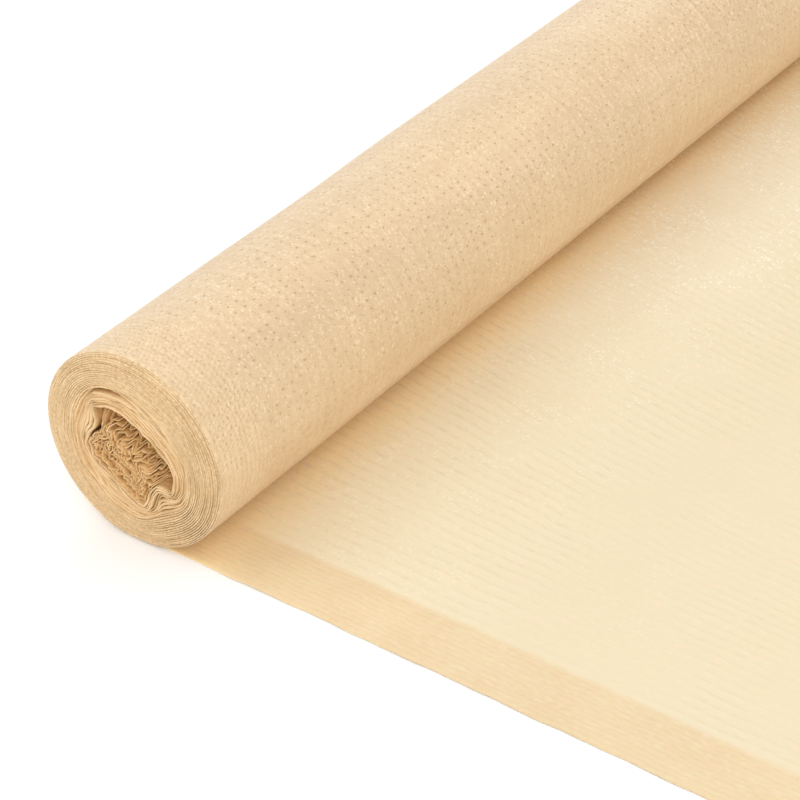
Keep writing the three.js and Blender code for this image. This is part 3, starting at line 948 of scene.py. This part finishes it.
def wound_marks(n, at, base, glint_specks, dark_specks, shaded_pinpricks):
    """The knit: close rows in the edge bands, specks with painted glints, mottle, and pinpricks painted
    dark as shade.
    """
    edge_rows, edge_stitches = band_rows(n, at)
    in_rows = n.times(edge_rows, at.band, at.rim, at.not_core)
    between = n.times(n.linear(edge_rows, -1, 1), n.linear(edge_stitches, -0.6, 1))
    mottle = at.noise(17, 0.75, 2, 0.6)
    return n.paint(base, (
        # where, strength, colour
        (n.times(in_rows, edge_stitches), 0.3, (0.42, 0.27, 0.12)),
        (n.times(between, at.band, at.rim, at.not_core), 0.22, (0.9, 0.72, 0.47)),
        # Painted glints where a tape crosses
        (n.times(glint_specks, at.rim), 0.44, (0.9, 0.74, 0.5)),
        (n.times(dark_specks, at.rim), 0.35, (0.42, 0.26, 0.11)),
        (n.step(0.55, 0.25, mottle), 0.16, (0.5, 0.33, 0.16)),
        # Pinpricks painted dark: the shade seen through holes, which aren't cut
        (shaded_pinpricks, 0.52, (0.36, 0.2, 0.08)),
    ))


def layer_edges(n, at, base):
    """The layers' own edges: beads, uneven stretches, painted shade low on the right, and painted shade
    behind them.
    """
    beads = n.noise(n.times(at.along, 0.45), n.times(at.across, 0.3), 9, 1, 2, 0.6)
    dark_beads = n.times(n.plus(at.in_ring, n.times(at.in_core, 0.6)), n.step(0.6, 0.35, beads))
    stretches = n.noise(n.times(at.along, 0.045), 0, 51, 1, 2, 0.6)
    darker = n.plus(0.3, n.times(at.in_band, at.not_core, 0.35))
    place = n.parts(n.add("ShaderNodeTexCoord").outputs["Object"])
    low_right = n.plus(n.times(place["X"], 0.95), n.linear(place["Z"], -0.35, 0.02))
    # Painted shade on the layers' edges low on the right of the end face
    shaded = n.times(at.at_rim, n.step(0, 0.045, low_right), at.in_ring)
    # Painted shade: a deeper colour just behind the edges in the core, seen in the gaps between layers
    behind = n.between(at.across, 0.5, 3, 997, 999.5)
    return n.paint(base, (
        # where, strength, colour
        (n.times(at.at_rim, at.not_core), 0.3, (0.84, 0.62, 0.35)),
        (n.times(at.at_rim, n.step(2300, 1100, at.along)), 0.45, (0.84, 0.65, 0.4)),
        (n.times(at.at_rim, dark_beads), 0.55, (0.5, 0.31, 0.14)),
        (n.times(at.at_rim, n.step(0.55, 0.75, beads)), 0.4, (0.88, 0.7, 0.45)),
        (n.times(at.at_rim, n.step(0.5, 0.62, stretches)), darker, (0.5, 0.32, 0.14)),
        (n.times(at.at_rim, n.step(0.48, 0.36, stretches)), 0.3, (0.9, 0.69, 0.42)),
        (shaded, 0.12, (0.46, 0.31, 0.14)),
        (n.times(shaded, n.step(0.45, 0.55, stretches)), 0.18, (0.46, 0.29, 0.12)),
        (n.times(behind, n.step(6100, 7300, at.along)), 0.55, (0.48, 0.23, 0.055)),
    ))


def wound_material(name, sheen, gloss):
    """Net over net: stitches, painted glints on the tape, pinpricks painted dark as shade, and painted
    shade deeper inside.
    """
    material = bpy.data.materials.new(name)
    n = Nodes(material)
    at = WoundPlaces(n)
    shaded_pinpricks = pinpricks(n, at)
    glint_specks, dark_specks = wound_specks(n, at)
    base = wound_shades(n, at, wound_ground(n, at))
    base = layer_edges(n, at, wound_marks(n, at, base, glint_specks, dark_specks, shaded_pinpricks))
    glint = n.times(tape_glints(n, at, 0.44), n.linear(at.band, -0.8, 1))
    base = n.paint(base, ((glint, 0.36, (0.96, 0.84, 0.62)),))
    rough = n.plus(0.58, n.times(glint_specks, -0.26), n.times(glint, -0.15))
    net_shader(n, base, rough, wound_relief(n, at, shaded_pinpricks), 0.00032, sheen, gloss)
    return material


class LaidPlaces(KnitPlaces):
    """Places on the laid net, with its broken lines and shares for how near the roll they lie."""

    def __init__(self, n):
        super().__init__(n, 4.5, 0.9)
        self.dark_line = n.step(0.2, 1, n.wave(self.row, ROW_PITCH))
        self.light_line = n.step(0.3, 1, n.wave(n.plus(self.row, 2.6), ROW_PITCH))
        broken = n.noise(n.times(self.along, 0.14), n.times(self.row, 0.27), 5, 1)
        self.dashes = n.step(0.36, 0.66, broken)
        patches = n.step(0.34, 0.6, self.noise(31, 0.018, 1.5))
        in_dashes = n.linear(self.dashes, 0.85, 0.15)
        self.shown = n.times(in_dashes, n.linear(patches, 0.8, 0.2), self.field)
        self.farther = n.step(150, 520, self.across)
        self.by_roll = n.times(n.between(self.along, 375, 430, 470, 487), self.field)
        self.beside = n.times(n.step(290, 390, self.along), n.linear(self.farther, 0.65, 0.35))
        self.edge_rows, self.edge_stitches = band_rows(n, self)


def laid_relief(n, at):
    """Lines as shallow grooves, small stitches between them, and the rows of the edge bands."""
    fine = n.linear(n.wave(at.row, ROW_PITCH / 2), 0.5, 0.5)
    stitches = n.linear(n.wave(n.plus(at.stitch, n.times(at.row, 0.6)), STITCH_PITCH), 0.5, 0.5)
    grain = n.noise(n.times(at.along, 0.8), n.times(at.row, 1.5), 0, 0.8, 2, 0.6)
    height = n.plus(n.times(at.dark_line, at.shown, -0.45), n.times(fine, at.field, 0.15))
    height = n.plus(height, n.times(grain, 0.35), n.times(at.edge_rows, at.band, -0.3))
    return n.plus(height, n.times(at.edge_stitches, at.band, 0.2), n.times(stitches, at.field, 0.12))


def laid_ground(n, at):
    """Cream over the pale surface, tan in the edge bands; painted shade away from the roll, painted warm
    light beside it and painted shadow under it.
    """
    # Painted shade: the net is painted darker away from the roll and lighter nearer it
    outer = n.mix(at.band, (0.742, 0.63, 0.425, 1), (0.735, 0.563, 0.335, 1))
    nearer = n.mix(at.band, (0.83, 0.715, 0.492, 1), (0.8, 0.615, 0.362, 1))
    contact = n.times(n.step(461, 473, at.along), n.linear(at.farther, 0.55, 0.25))
    blotch = n.step(0.35, 0.7, at.noise(11, 0.012, 3, 0.6))
    tan = n.step(0.35, 0.7, at.noise(19, 0.035, 2))
    tint = n.noise(n.times(at.along, 0.13), n.times(at.row, 0.3), 41, 1, 1)
    return n.paint(n.mix(n.step(275, 425, at.along), outer, nearer), (
        # where, strength, colour
        # Painted light: a warmer, brighter strip in the crevice beside the roll, as of light bounced off it
        (n.step(426, 474, at.along), 0.95, (1, 0.77, 0.395)),
        # Painted shadow along the contact under the roll
        (contact, 1, (0.8, 0.53, 0.205)),
        (blotch, 0.25, (0.77, 0.62, 0.385)),
        (n.times(tan, at.band), 0.3, (0.68, 0.49, 0.27)),
        (n.step(0.5, 0.75, tint), 0.4, (0.83, 0.64, 0.46)),
        (n.step(0.5, 0.25, tint), 0.4, (0.76, 0.68, 0.42)),
    ))


def laid_specks(n, at):
    """Painted glints of tape that catch the light, and dark specks where a gap opens, most of them beside
    the roll.
    """
    away, shade = n.cells(at.along, at.row, 5, 0.42)
    clusters = n.step(0.4, 0.6, at.noise(47, 0.024, 1.5))
    light = n.times(n.step(0.6, 0.2, away), n.step(0.5, 0.95, shade), n.plus(0.03, at.beside))
    light = n.times(light, n.linear(at.band, -0.7, 1), n.linear(clusters, 0.6, 0.4))
    dark = n.times(n.step(0.5, 0.15, away), n.step(0.3, 0.1, shade), n.linear(at.beside, 0.7, 0.3))
    return light, dark


def laid_material():
    """A single pale layer: soft broken lines along its length and close rows in the edge bands."""
    material = bpy.data.materials.new("laid_net")
    n = Nodes(material)
    at = LaidPlaces(n)
    glint_specks, dark_specks = laid_specks(n, at)
    # Painted sheen: a paler patch beside the roll, towards the far edge
    painted_sheen = n.times(n.between(at.along, 330, 395, 435, 475), at.farther)
    glint = n.times(tape_glints(n, at, 0.5), n.linear(at.band, -0.6, 1), n.plus(0.3, at.beside))
    base = n.paint(laid_ground(n, at), (
        # where, strength, colour
        (n.times(at.dark_line, at.shown), 0.15, (0.52, 0.37, 0.18)),
        (n.times(at.dark_line, at.dashes, at.by_roll), 0.06, (0.58, 0.38, 0.16)),
        (n.times(at.light_line, at.shown), 0.09, (0.93, 0.85, 0.68)),
        (n.times(at.edge_rows, at.band), 0.16, (0.55, 0.36, 0.18)),
        # Painted sheen beside the roll
        (painted_sheen, 0.3, (0.93, 0.83, 0.65)),
        # Painted glints, most of them beside the roll
        (glint_specks, 0.75, (0.98, 0.92, 0.79)),
        (dark_specks, 0.2, (0.55, 0.4, 0.22)),
        (glint, 0.45, (0.97, 0.92, 0.78)),
    ))
    rough = n.plus(0.66, n.times(glint, -0.2))
    net_shader(n, base, rough, laid_relief(n, at), 0.00022, 0.1, 0.6)
    return material


def make_net():
    """One net in four pieces that meet end to end."""
    wound = wound_material("wound_net", 0.1, 0.6)
    covered = wound_material("covered_net", 0.0, 0.25)
    laid = laid_material()
    (ring_piece, ring_length), (inner_piece, inner_length) = wound_turns()
    outer_piece, outer_length = outer_turn()
    laid_piece, laid_length = laid_end()
    for piece, node, material, length, held in (
        (inner_piece, "net_roll", covered, inner_length, "folded"),
        (ring_piece, "net_roll", covered, ring_length, "folded"),
        (outer_piece, "net_roll", wound, outer_length, "folded"),
        (laid_piece, "net_loose_end", laid, laid_length, "laid"),
    ):
        piece.data.materials.append(material)
        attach(piece, "root")
        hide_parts(node)


def make_stage():
    """A pale plain floor, a hair below the net so that the two don't share a plane."""
    mesh = bpy.data.meshes.new("floor")
    size = 14.0
    corners = [(-size, -size, 0), (size, -size, 0), (size, size, 0), (-size, size, 0)]
    mesh.from_pydata(corners, [], [(0, 1, 2, 3)])
    floor = add_object("floor", mesh)
    floor.location = (0, 0, -0.0002)
    material = bpy.data.materials.new("pale_floor")
    pale = {"Base Color": (0.96, 0.96, 0.96, 1), "Roughness": 0.9, "Specular IOR Level": 0.1}
    Nodes(material).surface(pale)
    mesh.materials.append(material)


def add_area_light(name, place, target, size, power, colour):
    """A round soft lamp that faces its target and can't be seen itself."""
    lamp = bpy.data.lights.new(name, "AREA")
    lamp.shape = "DISK"
    lamp.size = size
    lamp.energy = power
    lamp.color = colour
    item = add_object(name, lamp)
    item.location = place
    way = np.array(target) - np.array(place)
    yaw = math.atan2(way[0], way[1])
    pitch = math.atan2(-way[2], math.hypot(way[0], way[1]))
    item.rotation_euler = (math.pi / 2 - pitch, 0, -yaw)
    item.visible_camera = False


def light_scene():
    """A white room and three big soft lamps, a little warm from the right and cool from the back."""
    world = bpy.data.worlds.new("studio")
    bpy.context.scene.world = world
    world.use_nodes = True
    sky = world.node_tree.nodes["Background"]
    sky.inputs["Color"].default_value = (1, 1, 1, 1)
    sky.inputs["Strength"].default_value = SKY_STRENGTH
    for name, place, target, size, power, colour in LAMPS:
        add_area_light(name, place, target, size, power, colour)
    bpy.context.scene.view_settings.view_transform = "Standard"


def make_camera():
    """The camera that was fitted to the net's outline: place in roll radii, turn in degrees."""
    place = (12.743, -14.128, 14.664)
    yaw, pitch = -34.953, -34.805
    pixels, focal_pixels = 800, 2648
    data = bpy.data.cameras.new("camera")
    data.sensor_width = 36.0
    data.lens = focal_pixels / pixels * 36.0
    data.clip_start = 0.01
    camera = add_object("camera", data)
    radius = ROLL_RADIUS / 1000
    camera.location = (place[0] * radius, place[1] * radius - NET_WIDTH / 2000, place[2] * radius)
    camera.rotation_euler = (math.radians(90 + pitch), 0, math.radians(-yaw))
    bpy.context.scene.camera = camera


make_camera()
make_net()
make_stage()
light_scene()
